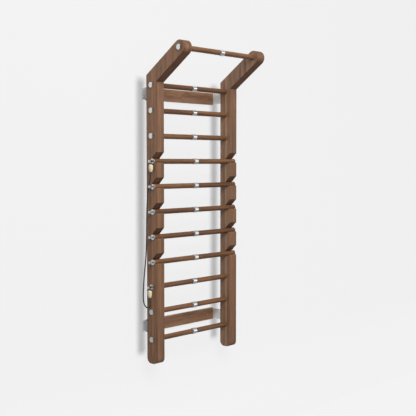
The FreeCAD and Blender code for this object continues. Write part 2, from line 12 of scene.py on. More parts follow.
import bpy
import numpy as np
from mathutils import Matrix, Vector


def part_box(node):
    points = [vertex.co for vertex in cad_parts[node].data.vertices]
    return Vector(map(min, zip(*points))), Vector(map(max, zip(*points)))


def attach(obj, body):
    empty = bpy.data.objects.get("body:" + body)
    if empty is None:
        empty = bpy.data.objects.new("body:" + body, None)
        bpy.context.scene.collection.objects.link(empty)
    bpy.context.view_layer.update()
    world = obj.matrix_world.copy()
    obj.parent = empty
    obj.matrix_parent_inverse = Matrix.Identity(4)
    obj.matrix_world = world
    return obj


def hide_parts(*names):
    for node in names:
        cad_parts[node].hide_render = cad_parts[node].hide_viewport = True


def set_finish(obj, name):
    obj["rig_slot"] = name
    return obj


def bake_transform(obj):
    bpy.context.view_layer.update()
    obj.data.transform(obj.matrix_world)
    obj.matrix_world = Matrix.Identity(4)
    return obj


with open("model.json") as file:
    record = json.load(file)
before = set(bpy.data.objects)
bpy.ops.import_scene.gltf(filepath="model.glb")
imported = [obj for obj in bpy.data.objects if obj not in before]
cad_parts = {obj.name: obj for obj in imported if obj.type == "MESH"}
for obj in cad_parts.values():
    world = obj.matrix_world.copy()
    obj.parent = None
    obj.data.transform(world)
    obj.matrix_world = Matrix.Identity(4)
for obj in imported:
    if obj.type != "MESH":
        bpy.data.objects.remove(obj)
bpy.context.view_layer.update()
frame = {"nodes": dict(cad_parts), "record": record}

# %% [markdown]
# ## Camera
# A camera is a place, a direction and a lens. The object is looked at from its left and a little above its middle,
# almost seven metres away, through a long lens, so upright lines stay nearly upright. Blender's camera looks along
# its own -Z axis, so it is first tipped up by 90 degrees less the downward pitch, and then turned about the
# vertical.

# %% The camera
CAMERA_PLACE = (-4.7243, -4.6829, 0.3726)
PITCH_DOWN = 3.164
HEADING = -47.245
camera_data = bpy.data.cameras.new("camera")
camera_data.sensor_width = 36.0
camera_data.lens = 71.9
camera_data.clip_end = 60.0
camera = bpy.data.objects.new("camera", camera_data)
camera.location = CAMERA_PLACE
camera.rotation_euler = (math.radians(90 - PITCH_DOWN), 0.0, math.radians(HEADING))
bpy.context.scene.collection.objects.link(camera)
bpy.context.scene.camera = camera
print("camera at", tuple(round(v, 3) for v in camera.location))

# %% [markdown]
# ## From arrays to meshes
# Every new piece here is a surface worked out as an array of points on a grid: one parameter runs along the piece
# and the other round it. Blender could make many of these with its own primitives and a few modifiers, but a
# formula gives the exact shape, and one helper turns any such grid into a mesh.

# %% Grid of points to mesh
def grid_cells(rows, columns, close_rows):
    """Corners of each cell of a grid whose columns run round and close on themselves, as its rows can too.

    Cell (i, j) joins points (i, j), (i, j + 1), (i + 1, j + 1) and (i + 1, j), with j + 1 taken round the ring.
    """
    i, j = np.meshgrid(np.arange(rows if close_rows else rows - 1), np.arange(columns), indexing="ij")
    i, j = i.ravel(), j.ravel()
    i_next, j_next = (i + 1) % rows, (j + 1) % columns
    corners = np.stack([i * columns + j, i * columns + j_next, i_next * columns + j_next, i_next * columns + j], 1)
    unwrapped = np.stack([[i, i, i + 1, i + 1], [j, j + 1, j + 1, j]], axis=-1)
    return corners, unwrapped.transpose(1, 0, 2)


def surface_piece(name, grids, along=None, close_rows=False, sharp_angle=40.0):
    """One object from several grids of points, each of shape (rows, columns, 3).

    Its UV map holds the distance along the piece in metres and the share of a turn round it. Points that fall
    together, as at a pole, become one, and the faces are turned to look outwards.
    """
    corners, uvs, points, first = [], [], [], 0
    for number, grid in enumerate(grids):
        rows, columns = grid.shape[:2]
        cells, unwrapped = grid_cells(rows, columns, close_rows)
        distance = np.arange(rows + 1) / rows if along is None else np.append(along[number], along[number][-1])
        corners.append(cells + first)
        uvs.append(np.stack([distance[unwrapped[..., 0]], unwrapped[..., 1] / columns], axis=-1))
        points.append(grid.reshape(-1, 3))
        first += rows * columns
    mesh = bpy.data.meshes.new(name)
    mesh.from_pydata(np.concatenate(points).tolist(), [], np.concatenate(corners).tolist())
    layer = mesh.uv_layers.new(name="UVMap")
    layer.data.foreach_set("uv", np.concatenate(uvs).astype(np.float32).ravel())
    tidy_mesh(mesh, sharp_angle)
    piece = bpy.data.objects.new(name, mesh)
    bpy.context.scene.collection.objects.link(piece)
    return piece


# %% Closing seams and poles
import bmesh


def tidy_mesh(mesh, sharp_angle):
    """Merge points that fall together, point the faces outwards, and keep only real corners sharp."""
    sculpt = bmesh.new()
    sculpt.from_mesh(mesh)
    bmesh.ops.remove_doubles(sculpt, verts=sculpt.verts, dist=1e-6)
    bmesh.ops.recalc_face_normals(sculpt, faces=sculpt.faces)
    sculpt.to_mesh(mesh)
    sculpt.free()
    mesh.shade_smooth()
    mesh.set_sharp_from_angle(angle=math.radians(sharp_angle))


# %% [markdown]
# ## The cord
# A stretchy cord with a woven cover hangs from the knob of the upper draw-out bar, runs down behind the edge of the
# left panel, turns in a low loop and comes back up to the knob of a fixed rung. It is limp, so its own weight makes
# the curve. A curve object with a bevel would be enough for a still picture. Here the smooth line is read from the
# curve and a tube is laid along it. The route's control points are in millimetres.

# %% The cord's line
CORD_DIAMETER = 0.009
CORD_ROUTE = np.array([
    (-475.0, -174.0, 298.7), (-475.0, -174.0, 262.0), (-475.5, -154.0, 212.0), (-476.5, -140.0, 128.0),
    (-477.5, -133.5, 12.0), (-478.0, -131.0, -112.0), (-478.0, -129.5, -236.0), (-477.5, -121.0, -352.0),
    (-477.0, -103.5, -462.0), (-476.5, -92.5, -562.0), (-476.0, -87.0, -636.0), (-475.5, -90.0, -684.0),
    (-475.0, -107.0, -716.0), (-475.0, -140.0, -727.0), (-475.0, -166.0, -706.0), (-475.0, -163.0, -673.0),
    (-475.0, -163.0, -646.0),
]) / 1000.0


def nurbs_line(control_points, name):
    """Points along a smooth NURBS curve of order 3 that starts and ends at its first and last control point."""
    curve = bpy.data.curves.new(name, "CURVE")
    curve.dimensions = "3D"
    spline = curve.splines.new("NURBS")
    spline.points.add(len(control_points) - 1)
    spline.points.foreach_set("co", np.append(control_points, np.ones((len(control_points), 1)), 1).ravel())
    spline.order_u = 3
    spline.use_endpoint_u = True
    spline.resolution_u = 16
    holder = bpy.data.objects.new(name, curve)
    mesh = bpy.data.meshes.new_from_object(holder)
    line = np.empty(len(mesh.vertices) * 3, np.float32)
    mesh.vertices.foreach_get("co", line)
    bpy.data.meshes.remove(mesh)
    bpy.data.objects.remove(holder)
    bpy.data.curves.remove(curve)
    return line.reshape(-1, 3).astype(float)


cord_line = nurbs_line(CORD_ROUTE, "cord_route")
cord_steps = np.linalg.norm(np.diff(cord_line, axis=0), axis=1)
print("cord line", len(cord_line), "points,", round(float(cord_steps.sum()), 4), "m")


# %% A tube along a line
def tube(line, radius, around=16):
    """Round tube: point = line + radius * (cos a * side + sin a * lift).

    The line's direction d comes from its neighbours; side is the X axis made square to d, and lift = d x side.
    Both ends close on the line itself. Also returns the distance along the line.
    """
    direction = np.gradient(line, axis=0)
    direction /= np.linalg.norm(direction, axis=1, keepdims=True)
    side = np.array([1.0, 0.0, 0.0]) - direction[:, :1] * direction
    side /= np.linalg.norm(side, axis=1, keepdims=True)
    lift = np.cross(direction, side)
    angle = np.linspace(0, 2 * np.pi, around, endpoint=False)[None, :, None]
    rings = line[:, None] + radius * (np.cos(angle) * side[:, None] + np.sin(angle) * lift[:, None])
    ends = np.repeat(line[[0, -1]][:, None], around, axis=1)
    distance = np.append(0, np.cumsum(np.linalg.norm(np.diff(line, axis=0), axis=1)))
    return np.concatenate([ends[:1], rings, ends[1:]]), np.concatenate([distance[:1], distance, distance[-1:]])


cord_points, cord_distance = tube(cord_line, CORD_DIAMETER / 2)
cord_piece = surface_piece("hanging_cord", [cord_points], [cord_distance])
print("cord tube", len(cord_piece.data.polygons), "faces")

# %% [markdown]
# ## Small loops over the knobs
# Each end of the cord is a thin loop that drops over a knob's neck. Its line is two straight legs and a half circle
# that clears the neck by a hair. Its size and place come from the box of the CAD loop that it stands for.

# %% The loops
LOOP_RADIUS = 0.003
LEG_IN_FERRULE = 0.002


def loop_line(node, count=64):
    """Line up one leg, over a half circle and down the other leg, inside the box of the CAD loop.

    With b the bend radius and h the leg's height, the distance s from 0 to 2h + pi * b gives the leg for s < h,
    the angle (s - h) / b on the half circle, and the other leg after it.
    """
    low, high = (np.array(corner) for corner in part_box(node))
    bend = (high[1] - low[1]) / 2 - LOOP_RADIUS
    centre = np.array([(low[0] + high[0]) / 2, (low[1] + high[1]) / 2, high[2] - LOOP_RADIUS - bend])
    leg = centre[2] - low[2] + LEG_IN_FERRULE
    s = np.linspace(0, 2 * leg + np.pi * bend, count)
    angle = np.clip((s - leg) / bend, 0, np.pi)
    drop = np.minimum(0, s - leg) + np.minimum(0, leg + np.pi * bend - s)
    return centre + np.stack([0 * s, -bend * np.cos(angle), bend * np.sin(angle) + drop], axis=1)


loops = {}
for level in ("upper", "lower"):
    loop_points, loop_distance = tube(loop_line(f"cord_loop_{level}"), LOOP_RADIUS, 12)
    loops[level] = surface_piece(f"knob_loop_{level}", [loop_points], [loop_distance])
    print(loops[level].name, len(loops[level].data.polygons), "faces")

# %% [markdown]
# ## Cream ferrules
# A moulded ferrule grips each end of the cord. It is an oval that narrows to a collar where the cord goes in, has
# rounded shoulders at the top, and a groove down the middle of both broad sides where the mould closes. Modelling
# it with subdivision would do, but a stack of rounded-square outlines is quicker to shape: one curve gives the
# width at each height, and a bell curve presses the groove in.

# %% The ferrules
GROOVE_WIDTH = 0.0025
GROOVE_DEPTH = 0.0028
SLIMMER = 0.86
SQUARENESS = 2.6


def groove_mask(node, points):
    """How deep in the groove a point lies, from 0 to 1: exp(-(y / width)^2), faded out at the top and the tip.

    With t the share of the height and x the distance from the middle, the fades are t / 0.04, (0.86 - t) / 0.05
    and |x| / 4 mm, each kept between 0 and 1.
    """
    low, high = (np.array(corner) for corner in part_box(node))
    x, y, _ = np.moveaxis(points - (low + high) / 2, -1, 0)
    t = (points[..., 2] - low[2]) / (high[2] - low[2])
    return (np.exp(-(y / GROOVE_WIDTH) ** 2) * np.clip(t / 0.04, 0, 1) * np.clip((0.86 - t) / 0.05, 0, 1)
            * np.clip(np.abs(x) / 0.004, 0, 1))


def ferrule_points(node, rows=72, around=96):
    """Stack of rounded outlines |x / a|^n + |y / b|^n = 1, with n the squareness, as high as the CAD ferrule.

    With t the share of the height, the share of full width is 0.5 + 0.5 * sin(90 deg * t / 0.55)^0.7, rounded
    off over the last fifth. All of it is a little slimmer than the CAD box. The groove is pressed in sideways.
    """
    low, high = (np.array(corner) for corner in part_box(node))
    centre, half = (low + high) / 2, (high - low) / 2
    t = np.concatenate([[0], np.linspace(0, 0.8, rows - 18), 0.8 + 0.2 * np.sin(np.linspace(0.05, 0.5, 16) * np.pi),
                        [1.0]])
    shoulder = np.clip((t - 0.8) / 0.2, 0, 1)
    share = (0.5 + 0.5 * np.sin(np.pi / 2 * np.minimum(t / 0.55, 1)) ** 0.7) * np.sqrt(1 - (0.9 * shoulder) ** 2)
    share[[0, -1]] = 0
    share *= SLIMMER
    angle = np.linspace(0, 2 * np.pi, around, endpoint=False)
    rounded = [np.sign(f) * np.abs(f) ** (2 / SQUARENESS) for f in (np.cos(angle), np.sin(angle))]
    x = half[0] * share[:, None] * rounded[0]
    y = half[1] * share[:, None] * rounded[1]
    z = np.broadcast_to(low[2] + 2 * half[2] * t[:, None], x.shape)
    smooth = np.stack([centre[0] + x, centre[1] + y, z], axis=-1)
    pressed = smooth.copy()
    pressed[..., 0] -= np.sign(x) * GROOVE_DEPTH * groove_mask(node, smooth)
    return pressed


# %% Writing the groove's depth on the mesh
def write_groove(piece, node):
    """Store the groove mask on each vertex, worked out from all the vertices' places at once."""
    places = np.empty(len(piece.data.vertices) * 3, np.float32)
    piece.data.vertices.foreach_get("co", places)
    attribute = piece.data.attributes.new("groove", "FLOAT", "POINT")
    attribute.data.foreach_set("value", groove_mask(node, places.reshape(-1, 3).astype(float)).astype(np.float32))


ferrules = {}
for level in ("upper", "lower"):
    ferrules[level] = surface_piece(f"ferrule_{level}", [ferrule_points(f"cord_ferrule_{level}")])
    write_groove(ferrules[level], f"cord_ferrule_{level}")
    print(ferrules[level].name, len(ferrules[level].data.polygons), "faces")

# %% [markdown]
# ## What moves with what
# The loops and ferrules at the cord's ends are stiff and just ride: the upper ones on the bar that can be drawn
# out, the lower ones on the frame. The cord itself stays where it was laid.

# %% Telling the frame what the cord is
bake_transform(cord_piece)
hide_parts("cord")
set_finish(cord_piece, "cord_black")
for level, body in (("upper", "bar_04"), ("lower", "frame")):
    for piece, node, slot in ((ferrules[level], f"cord_ferrule_{level}", "ferrule_cream"),
                              (loops[level], f"cord_loop_{level}", "cord_black")):
        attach(piece, body)
        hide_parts(node)
        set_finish(piece, slot)

# %% [markdown]
# ## Turned steel
# Caps, knobs and sleeves come off a lathe, so each is a profile turned about the rung's axis. The CAD profile has
# straight bevels. A real polished edge is never a perfect corner: it catches the light as a thin bright line, so
# every corner of the profile is rounded a little before it is turned. Only the left ends carry knobs.

# %% Where the rungs are
def centre_of(node):
    """Middle of a CAD node's box."""
    low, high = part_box(node)
    return np.array((low + high) / 2)


RUNG_AXES = {name[:-10]: centre_of(name)[1:] for name in sorted(frame["nodes"]) if name.endswith("_wood_left")}
PANEL_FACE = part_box("side_panel_right")[1].x
BAR_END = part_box("bar_04_wood_right")[1].x
BARS = [name for name in RUNG_AXES if name.startswith("bar_")]
print(len(RUNG_AXES), "rungs, panel face at", round(PANEL_FACE, 4), "bar end at", round(BAR_END, 4))


# %% Rounding a profile's corners
def rounded_profile(corners, radii, steps=7):
    """Replace each corner c by the arc (1 - t)^2 * a + 2t(1 - t) * c + t^2 * b.

    Here a and b lie one radius away from the corner along its two sides. Rows are (distance along, radius).
    """
    corners, radii = np.asarray(corners, float), np.asarray(radii, float)[:, None]
    t = np.linspace(0, 1, steps)[:, None, None]
    to_before, to_after = np.roll(corners, 1, axis=0) - corners, np.roll(corners, -1, axis=0) - corners
    a = corners + radii * to_before / np.linalg.norm(to_before, axis=1, keepdims=True)
    b = corners + radii * to_after / np.linalg.norm(to_after, axis=1, keepdims=True)
    arcs = (1 - t) ** 2 * a + 2 * t * (1 - t) * corners + t ** 2 * b
    profile = arcs.transpose(1, 0, 2).reshape(-1, 2)
    step = np.linalg.norm(np.diff(profile, axis=0), axis=1)
    return profile[np.append(True, step > 1e-6)] / 1000.0


def turned(profile, start, axis, side, around=72):
    """Turn a profile about a line parallel to X: point = (start + side * along, y + r cos a, z + r sin a)."""
    angle = np.linspace(0, 2 * np.pi, around, endpoint=False)
    along, radius = profile[:, :1], profile[:, 1:]
    x = np.broadcast_to(start + side * along, (len(profile), around))
    return np.stack([x, axis[0] + radius * np.cos(angle), axis[1] + radius * np.sin(angle)], axis=-1)


def profile_distance(profile):
    """Distance along a profile, in metres."""
    return np.append(0, np.cumsum(np.linalg.norm(np.diff(profile, axis=0), axis=1)))


# %% The three profiles, in millimetres
CAP_PROFILE = rounded_profile(
    [(0, 0), (0, 22.5), (9, 22.5), (9, 13), (8.4, 12.2), (8.4, 0)],
    [0, 0.4, 7.5, 0.5, 0.4, 0])
KNOB_PROFILE = rounded_profile(
    [(0, 0), (0, 22.5), (9, 22.5), (9, 6), (26, 6), (27, 10), (32, 11.5), (41, 11.5), (41, 0)],
    [0, 0.4, 7.5, 5.0, 1.2, 1.6, 2.0, 6.5, 0])
SLEEVE_PROFILE = rounded_profile(
    [(-24, 20.06), (-24, 20.7), (-19, 23.5), (19, 23.5), (24, 20.7), (24, 20.06)],
    [0.15, 0.3, 2.2, 2.2, 0.3, 0.15])
print("profile points", len(CAP_PROFILE), len(KNOB_PROFILE), len(SLEEVE_PROFILE))


# %% Caps, knobs and sleeves
def steel_piece(name, turnings, body, nodes, close_rows=False):
    """Make one piece of several turned shapes, (profile, start, axis, side) each. It stands for the CAD nodes."""
    grids = [turned(*turning) for turning in turnings]
    distances = [profile_distance(profile) for profile, *_ in turnings]
    piece = surface_piece(name, grids, distances, close_rows, 30.0)
    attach(piece, body)
    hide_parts(*nodes)
    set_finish(piece, "polished_steel")
    return piece


def end_caps(rung, face, left_profile):
    """Both caps of a rung, on faces at the same distance left and right. Only the left one can carry a knob."""
    return [(left_profile, -face, RUNG_AXES[rung], -1), (CAP_PROFILE, face, RUNG_AXES[rung], 1)]


fixed = [name for name in RUNG_AXES if name not in BARS]
plain_caps = [cap for name in fixed if name != "rung_09" for cap in end_caps(name, PANEL_FACE, CAP_PROFILE)]
steel = [
    steel_piece("end_caps", plain_caps, "frame", ["rung_end_caps"]),
    steel_piece("rung_09_knobs", end_caps("rung_09", PANEL_FACE, KNOB_PROFILE), "frame", ["rung_09_knob_caps"]),
    steel_piece("sleeves", [(SLEEVE_PROFILE, 0, RUNG_AXES[name], 1) for name in fixed], "frame", ["rung_sleeves"],
                True),
]
for bar in BARS:
    steel.append(steel_piece(f"{bar}_knobs", end_caps(bar, BAR_END, KNOB_PROFILE), bar, [f"{bar}_knob_caps"]))
    steel.append(steel_piece(f"{bar}_middle", [(SLEEVE_PROFILE, 0, RUNG_AXES[bar], 1)], bar, [f"{bar}_sleeve"], True))
print(len(steel), "steel pieces,", sum(len(piece.data.polygons) for piece in steel), "faces")

# %% [markdown]
# ## Screw heads
# Four small screws hold the wall boards, and eight larger ones hold the brackets to the backs of the panels. A
# screw's head is a low dome with a six-sided socket. A boolean could cut the socket, but the same ring-by-ring
# surface can do it: the inner rings change from round to six-sided.

# %% Socket screws
def screw_points(centre, towards, radius, height, socket, rows_round=72):
    """Head as rings about a line parallel to Y, from the rim's foot over the dome and down into the socket.

    A six-sided ring of half width w has the radius w / cos(((a + 30) mod 60) - 30), with the angle a in degrees.
    Each row of the profile gives distance outwards, radius, and how six-sided the ring is.
    """
    rings = np.array([
        (0, 0, 0), (0, 1, 0), (0.62, 1, 0), (0.84, 0.96, 0), (0.95, 0.86, 0), (1.0, 0.66, 0.2), (1.0, 0.57, 1),
        (0.96, 0.55, 1), (0.35, 0.55, 1), (0.3, 0.5, 1), (0.22, 0, 1)])
    angle = np.linspace(0, 2 * np.pi, rows_round, endpoint=False)
    hexagon = 1 / np.cos((angle + np.pi / 6) % (np.pi / 3) - np.pi / 6)
    out, size, sided = rings[:, :1] * height, rings[:, 1:2] * radius, rings[:, 2:]
    size = np.where(rings[:, 1:2] < 0.6, size * socket / (0.57 * radius), size)
    reach = size * (1 + sided * (hexagon - 1))
    y = np.broadcast_to(centre[1] + towards * out, reach.shape)
    return np.stack([centre[0] + reach * np.cos(angle), y, centre[2] + reach * np.sin(angle)], axis=-1)


BOARD_HEAD = {"radius": 0.005, "height": 0.003, "socket": 0.0016}
PANEL_HEAD = {"radius": 0.0065, "height": 0.006, "socket": 0.0025}
BRACKET_PLATE = 0.004
BOARD_SCREW_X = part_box("side_panel_right")[0].x - 0.072
PANEL_SCREW_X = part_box("side_panel_right")[0].x + 0.03
PANEL_SCREW_SPREAD = 0.022
bracket_middle = [centre_of(f"wall_bracket_{level}_right")[2] for level in ("upper", "lower")]
sunk_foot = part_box("wall_board_upper")[0].y + BOARD_HEAD["height"]
plate_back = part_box("side_panel_right")[1].y + BRACKET_PLATE
board_heads = [screw_points((side * BOARD_SCREW_X, sunk_foot, z), -1, **BOARD_HEAD)
               for z in bracket_middle for side in (-1, 1)]
panel_heads = [screw_points((side * PANEL_SCREW_X, plate_back, z + up * PANEL_SCREW_SPREAD), 1, **PANEL_HEAD)
               for z in bracket_middle for side in (-1, 1) for up in (-1, 1)]
screws = []
for name, heads, node in (("board_screw_heads", board_heads, "board_screws"),
                          ("panel_screw_heads", panel_heads, "panel_screws")):
    piece = surface_piece(name, heads, sharp_angle=35.0)
    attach(piece, "frame")
    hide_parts(node)
    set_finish(piece, "screw_steel")
    screws.append(piece)
    print(name, len(piece.data.polygons), "faces")

# %% [markdown]
# ## Tools for materials
# A material is a small network of nodes. Effects that several finishes share, such as wood grain, are built once as
# a node group with named inputs and outputs, and each material places the group with its own values.

# %% Helpers for nodes
def on_screen(red, green, blue, gain=1.0):
    """Linear colour of a paint given by its look on a screen, 0 to 255: gain * ((c + 0.055) / 1.055)^2.4."""
    screen = np.array([red, green, blue]) / 255
    return (*(gain * ((screen + 0.055) / 1.055) ** 2.4), 1.0)


def feed(tree, made, inputs):
    """Give the numbered or named inputs of a node a value or a link."""
    for socket, value in dict(inputs).items():
        if isinstance(value, bpy.types.NodeSocket):
            tree.links.new(value, made.inputs[socket])
        else:
            made.inputs[socket].default_value = value


def node(tree, kind, inputs=(), **settings):
    """Add a node, apply its settings and feed its inputs."""
    made = tree.nodes.new(kind)
    for name, value in settings.items():
        setattr(made, name, value)
    feed(tree, made, inputs)
    return made


def maths(tree, operation, *values, clamp=False):
    """Result of a Math node."""
    return node(tree, "ShaderNodeMath", enumerate(values), operation=operation, use_clamp=clamp).outputs[0]


# %% Colours, relief and directions
def mix(tree, kind, factor, one, other):
    """Colour Mix of two colours."""
    return node(tree, "ShaderNodeMix", {"Factor": factor, 6: one, 7: other}, data_type="RGBA",
                blend_type=kind).outputs[2]


def bump(tree, strength, distance, height):
    """Normal of a surface with a fine relief."""
    return node(tree, "ShaderNodeBump", {"Strength": strength, "Distance": distance,
                                         "Height": height}).outputs["Normal"]


def split(tree, place):
    """The X, Y and Z outputs of a vector."""
    return node(tree, "ShaderNodeSeparateXYZ", {0: place}).outputs


def ramp(tree, factor, stops):
    """Colour Ramp through stops given as (place, linear colour)."""
    made = node(tree, "ShaderNodeValToRGB", {"Fac": factor})
    elements = made.color_ramp.elements
    for _ in range(len(stops) - 2):
        elements.new(0.5)
    for element, (place, colour) in zip(elements, stops):
        element.position = place
        element.color = colour
    return made.outputs["Color"]


# %% An empty node group
def new_group(name, inputs, outputs):
    """Empty shader node group. Inputs and outputs are (label, kind, default)."""
    group = bpy.data.node_groups.new(name, "ShaderNodeTree")
    for way, sockets in (("INPUT", inputs), ("OUTPUT", outputs)):
        for label, kind, default in sockets:
            socket = group.interface.new_socket(label, in_out=way, socket_type=f"NodeSocket{kind}")
            if default is not None:
                socket.default_value = default
    entry, leave = group.nodes.new("NodeGroupInput"), group.nodes.new("NodeGroupOutput")
    return group, entry.outputs, leave.inputs


# %% [markdown]
# ## Wood grain
# Walnut has three things to see: broad soft figure, fine fibres, and short dark pores. All three are long in the
# direction of the grain, so the place is squeezed along that direction before it goes into the noise. Growth lines
# come from the same broad noise: where it passes certain values, a thin darker line is drawn, like height lines on
# a map.

# %% The grain group
grain, grain_in, grain_out = new_group(
    "walnut_grain",
    [("Place", "Vector", None), ("Figure Size", "Float", 22.0), ("Seed", "Float", 0.0)],
    [("Tone", "Float", None), ("Pores", "Float", None), ("Height", "Float", None)])


def squeezed(tree, place, share, seed):
    """Place with its Z multiplied by a small share, moved aside by the seed."""
    scaled = node(tree, "ShaderNodeVectorMath", {0: place, 1: (1.0, 1.0, share)}, operation="MULTIPLY").outputs[0]
    shift = node(tree, "ShaderNodeCombineXYZ", {"X": seed, "Y": seed}).outputs[0]
    return node(tree, "ShaderNodeVectorMath", {0: scaled, 1: shift}, operation="ADD").outputs[0]


def noise(tree, place, scale, detail, rough=0.5, distortion=0.0):
    """Value of a Noise Texture."""
    return node(tree, "ShaderNodeTexNoise", {"Vector": place, "Scale": scale, "Detail": detail, "Roughness": rough,
                                             "Distortion": distortion}).outputs["Fac"]


FIGURE_STRETCH, FIBRE_STRETCH, PORE_STRETCH = 0.06, 0.025, 0.05
FIBRE_SCALE, PORE_SCALE = 420.0, 1300.0
GROWTH_LINES = 75.0
PORE_LEVEL, PORE_EDGE, PORE_DEPTH = 0.62, 9.0, 0.8
FIGURE_SHARE, FIBRE_SHARE, LINE_SHARE, TONE_FLOOR = 0.9, 0.45, 0.1, 0.18
place, seed = grain_in["Place"], grain_in["Seed"]
broad = noise(grain, squeezed(grain, place, FIGURE_STRETCH, seed), grain_in["Figure Size"], 2.0, 0.5, 0.4)
fibre = noise(grain, squeezed(grain, place, FIBRE_STRETCH, seed), FIBRE_SCALE, 3.0, 0.6)
pore_noise = noise(grain, squeezed(grain, place, PORE_STRETCH, seed), PORE_SCALE, 1.0)
lines = maths(grain, "SINE", maths(grain, "MULTIPLY", broad, GROWTH_LINES))
pores = maths(grain, "MULTIPLY", maths(grain, "SUBTRACT", pore_noise, PORE_LEVEL), PORE_EDGE, clamp=True)
tone = maths(grain, "ADD", maths(grain, "MULTIPLY", broad, FIGURE_SHARE),
             maths(grain, "MULTIPLY", fibre, FIBRE_SHARE))
tone = maths(grain, "ADD", tone, maths(grain, "MULTIPLY", lines, LINE_SHARE))
grain.links.new(maths(grain, "SUBTRACT", tone, TONE_FLOOR, clamp=True), grain_out["Tone"])
grain.links.new(pores, grain_out["Pores"])
grain.links.new(maths(grain, "SUBTRACT", fibre, maths(grain, "MULTIPLY", pores, PORE_DEPTH)), grain_out["Height"])
print("walnut_grain has", len(grain.nodes), "nodes")

# %% [markdown]
# ## Glued strips
# The side panels are glued up from narrow strips of walnut, and no two strips have the same colour. The lay-up is
# written down as a list: where each strip starts, in millimetres, and how light its wood is. A Colour Ramp with
# constant steps turns a distance across the panel into that lightness, with a thin dark glue line at each joint.
# The right panel's front shows other strips, because its distances start further into the list.

# %% The lay-up
SIDE_STRIPS = [(0, 0.66), (35, 0.54), (50, 0.92), (76, 0.64), (99, 0.54), (123, 0.74), (147, 0.6), (172, 0.82),
               (197, 0.56), (222, 0.76), (248, 0.62), (273, 0.82), (299, 0.58), (325, 0.72), (352, 0.64)]
FRONT_STRIPS = [(0, 0.42), (32, 0.74), (70, 0.2), (100, 0.62), (168, 0.3)]
FRONT_REACH, SIDE_REACH = 200, 400
RIGHT_FRONT = 0.1
GLUE_LINE, GLUE_TONE = 0.8, 0.05


def lay_up(tree, across, strips, reach):
    """Lightness of the strip at a distance across the panel; both are in metres, the list is in millimetres."""
    made = node(tree, "ShaderNodeValToRGB", {"Fac": maths(tree, "DIVIDE", across, reach / 1000)})
    made.color_ramp.interpolation = "CONSTANT"
    steps = [strips[0]]
    for start, lightness in strips[1:]:
        steps += [(start, GLUE_TONE), (start + GLUE_LINE, lightness)]
    elements = made.color_ramp.elements
    for _ in range(len(steps) - 2):
        elements.new(1.0)
    for element, (start, lightness) in zip(elements, steps):
        element.position = start / reach
        element.color = (lightness, lightness, lightness, 1)
    return made.outputs["Color"]


# %% [markdown]
# ## Oiled walnut
# Three parts share the wood but not the direction of its grain: it runs up the side panels, and along the rungs
# and wall boards. So the material first turns the place so that the grain runs along Z, and the group does the
# rest. Oil leaves the wood satin: the fibres are a little rougher than the ground between them. Faces that cut
# across the grain drink more oil, so they are darker and duller, and part of that darkening is painted shade on
# faces that point up or down. Each face of a panel also has a slight tint: the fronts a little warmer and darker,
# and the side faces lighter and greyer, a painted sheen, most of all on the right panel's inner face.

# %% Shared end of the wood materials
def new_material(name):
    """Empty material with a Principled shader joined to its output."""
    material = bpy.data.materials.new(name)
    material.use_nodes = True
    tree = material.node_tree
    tree.nodes.clear()
    shader = tree.nodes.new("ShaderNodeBsdfPrincipled")
    out = tree.nodes.new("ShaderNodeOutputMaterial")
    tree.links.new(shader.outputs[0], out.inputs["Surface"])
    return material, tree, shader


WOOD_GAIN = 0.82
PORE_COLOUR = on_screen(58, 38, 26, WOOD_GAIN)
PORE_SHARE = 0.55


def finish_wood(tree, shader, colour, grain_node, satin, gloss):
    """Darken the pores, then set roughness and a fine relief from the grain."""
    height = grain_node.outputs["Height"]
    pores = maths(tree, "MULTIPLY", grain_node.outputs["Pores"], PORE_SHARE)
    feed(tree, shader, {"Base Color": mix(tree, "MIX", pores, colour, PORE_COLOUR),
                        "Roughness": maths(tree, "ADD", satin, maths(tree, "MULTIPLY", height, 0.16)),
                        "Normal": bump(tree, 0.25, 0.0004, height), "Specular IOR Level": gloss})


# %% Walnut of the side panels
PANEL_SATIN, PANEL_GLOSS = 0.38, 0.42
# Faces that point up or down are darkened: partly real end grain, partly painted shade on them.
END_GRAIN_AND_SHADE, END_ROUGH, END_GRAIN_SHADE_COLOUR = 0.32, 0.4, (0.25, 0.1, 0.0, 1)
SEED_PER_STRIP = 9.0
SIDE_LIMIT = 0.6
FRONT_TINTS = ((0.98, 0.97, 0.94, 1), (0.96, 0.91, 0.84, 1))
# Painted sheen: the side faces are lifted lighter and greyer, the right panel's inner face most.
SIDE_SHEEN_TINTS = ((1.03, 1.04, 1.06, 1), (1.16, 1.32, 1.55, 1))
PANEL_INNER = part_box("side_panel_right")[0].x
PANEL_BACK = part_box("side_panel_right")[1].y
panel_walnut, tree, shader = new_material("panel_walnut")
coordinates = node(tree, "ShaderNodeTexCoord").outputs
place, facing = split(tree, coordinates["Object"]), split(tree, coordinates["Normal"])
sideways = maths(tree, "GREATER_THAN", maths(tree, "ABSOLUTE", facing["X"]), SIDE_LIMIT)
from_inner_face = maths(tree, "SUBTRACT", maths(tree, "ABSOLUTE", place["X"]), PANEL_INNER)
on_right = maths(tree, "GREATER_THAN", place["X"], 0.0)
across_front = maths(tree, "MULTIPLY_ADD", on_right, RIGHT_FRONT, from_inner_face)
from_back = maths(tree, "SUBTRACT", PANEL_BACK, place["Y"])
lightness = node(tree, "ShaderNodeMix", {"Factor": sideways,
                                         2: lay_up(tree, across_front, FRONT_STRIPS, FRONT_REACH),
                                         3: lay_up(tree, from_back, SIDE_STRIPS, SIDE_REACH)}).outputs[0]
wood = node(tree, "ShaderNodeGroup", node_tree=grain)
feed(tree, wood, {"Place": coordinates["Object"], "Seed": maths(tree, "MULTIPLY", lightness, SEED_PER_STRIP)})
